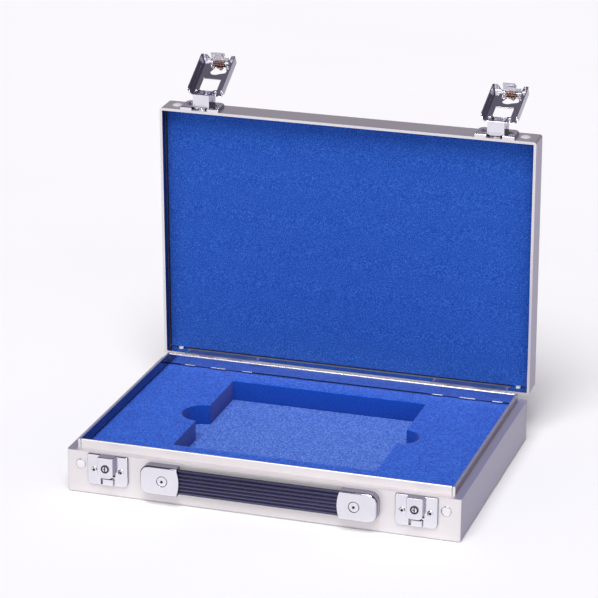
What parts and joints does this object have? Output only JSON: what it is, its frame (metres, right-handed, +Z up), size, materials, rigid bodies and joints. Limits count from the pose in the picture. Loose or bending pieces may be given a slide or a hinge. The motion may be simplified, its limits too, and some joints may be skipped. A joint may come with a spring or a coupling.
{
  "type": "aluminium trunk",
  "caption": "Flat open aluminium trunk with foam linings, a cut-out pocket, a hinged lid, lockable swing latches and a strap handle",
  "frame": {"origin": "centre of the base's underside, on the surface that the case stands on", "axes": "X runs across the case to its right, Y from the front wall with the handle to the hinges, Z up"},
  "size_m": [0.35, 0.313, 0.3221],
  "materials": {
    "sheet": "satin anodised sheet with polished folded edges",
    "foam": "fine open-cell blue foam",
    "rivet": "polished domed rivets",
    "chrome_plate": "bright nickel and chrome plate",
    "steel": "zinc plated steel",
    "strap": "ribbed soft black strap with a dark blue cast",
    "spring": "bronze coloured spring wire"
  },
  "bodies": {
    "base": {"base_shell": "sheet", "base_foam_floor": "foam", "base_foam_insert": "foam", "base_corner_rivets": "rivet", "keeper_plate_left": "chrome_plate", "keeper_plate_right": "chrome_plate", "keeper_rivets": "chrome_plate", "lock_housing_left": "chrome_plate", "lock_housing_right": "chrome_plate", "handle_cap_left": "chrome_plate", "handle_cap_right": "chrome_plate", "handle_strap": "strap", "handle_core": "steel", "handle_screws": "chrome_plate", "handle_backing_plates": "steel", "hinge_base_leaf_left": "steel", "hinge_base_leaf_right": "steel", "hinge_pin_left": "steel", "hinge_pin_right": "steel", "hinge_base_rivets": "rivet"},
    "lid": {"hinge_lid_leaf_left": "steel", "hinge_lid_leaf_right": "steel", "hinge_lid_rivets": "rivet", "lid_shell": "sheet", "lid_foam": "foam", "lid_corner_rivets": "rivet", "latch_plate_left": "chrome_plate", "latch_plate_right": "chrome_plate", "latch_plate_rivets": "chrome_plate", "latch_bracket_left": "chrome_plate", "latch_bracket_right": "chrome_plate"},
    "cover_left": {"latch_cover_left": "chrome_plate", "latch_pin_left": "steel", "catch_pin_left": "steel", "catch_spring_left": "spring"},
    "catch_left": {"latch_catch_left": "chrome_plate"},
    "plug_left": {"lock_plug_left": "chrome_plate"},
    "cover_right": {"latch_cover_right": "chrome_plate", "latch_pin_right": "steel", "catch_pin_right": "steel", "catch_spring_right": "spring"},
    "catch_right": {"latch_catch_right": "chrome_plate"},
    "plug_right": {"lock_plug_right": "chrome_plate"}
  },
  "joints": [
    {"name": "lid_hinge", "type": "hinge", "parent": "base", "child": "lid", "pos_m": [0, 0.1235, 0.0375], "axis": [1, 0, 0], "range_deg": [0, 88]},
    {"name": "cover_pivot_left", "type": "hinge", "parent": "lid", "child": "cover_left", "pos_m": [-0.137, 0.13757, 0.29365], "axis": [1, 0, 0], "range_deg": [-13.5, 151.5]},
    {"name": "cover_pivot_right", "type": "hinge", "parent": "lid", "child": "cover_right", "pos_m": [0.137, 0.13757, 0.29365], "axis": [1, 0, 0], "range_deg": [-4.5, 160.5]},
    {"name": "catch_pivot_left", "type": "hinge", "parent": "cover_left", "child": "catch_left", "pos_m": [-0.137, 0.16845, 0.31334], "axis": [-1, 0, 0], "range_deg": [0, 13], "stiffness_Nm_per_rad": 0.05, "springref_deg": -8.59},
    {"name": "catch_pivot_right", "type": "hinge", "parent": "cover_right", "child": "catch_right", "pos_m": [0.137, 0.17115, 0.30827], "axis": [-1, 0, 0], "range_deg": [0, 13], "stiffness_Nm_per_rad": 0.05, "springref_deg": -8.59},
    {"name": "key_plug_left", "type": "hinge", "parent": "base", "child": "plug_left", "pos_m": [-0.137, -0.12, 0.0282], "axis": [0, -1, 0], "range_deg": [0, 90]},
    {"name": "key_plug_right", "type": "hinge", "parent": "base", "child": "plug_right", "pos_m": [0.137, -0.12, 0.0282], "axis": [0, -1, 0], "range_deg": [0, 90]}
  ]
}
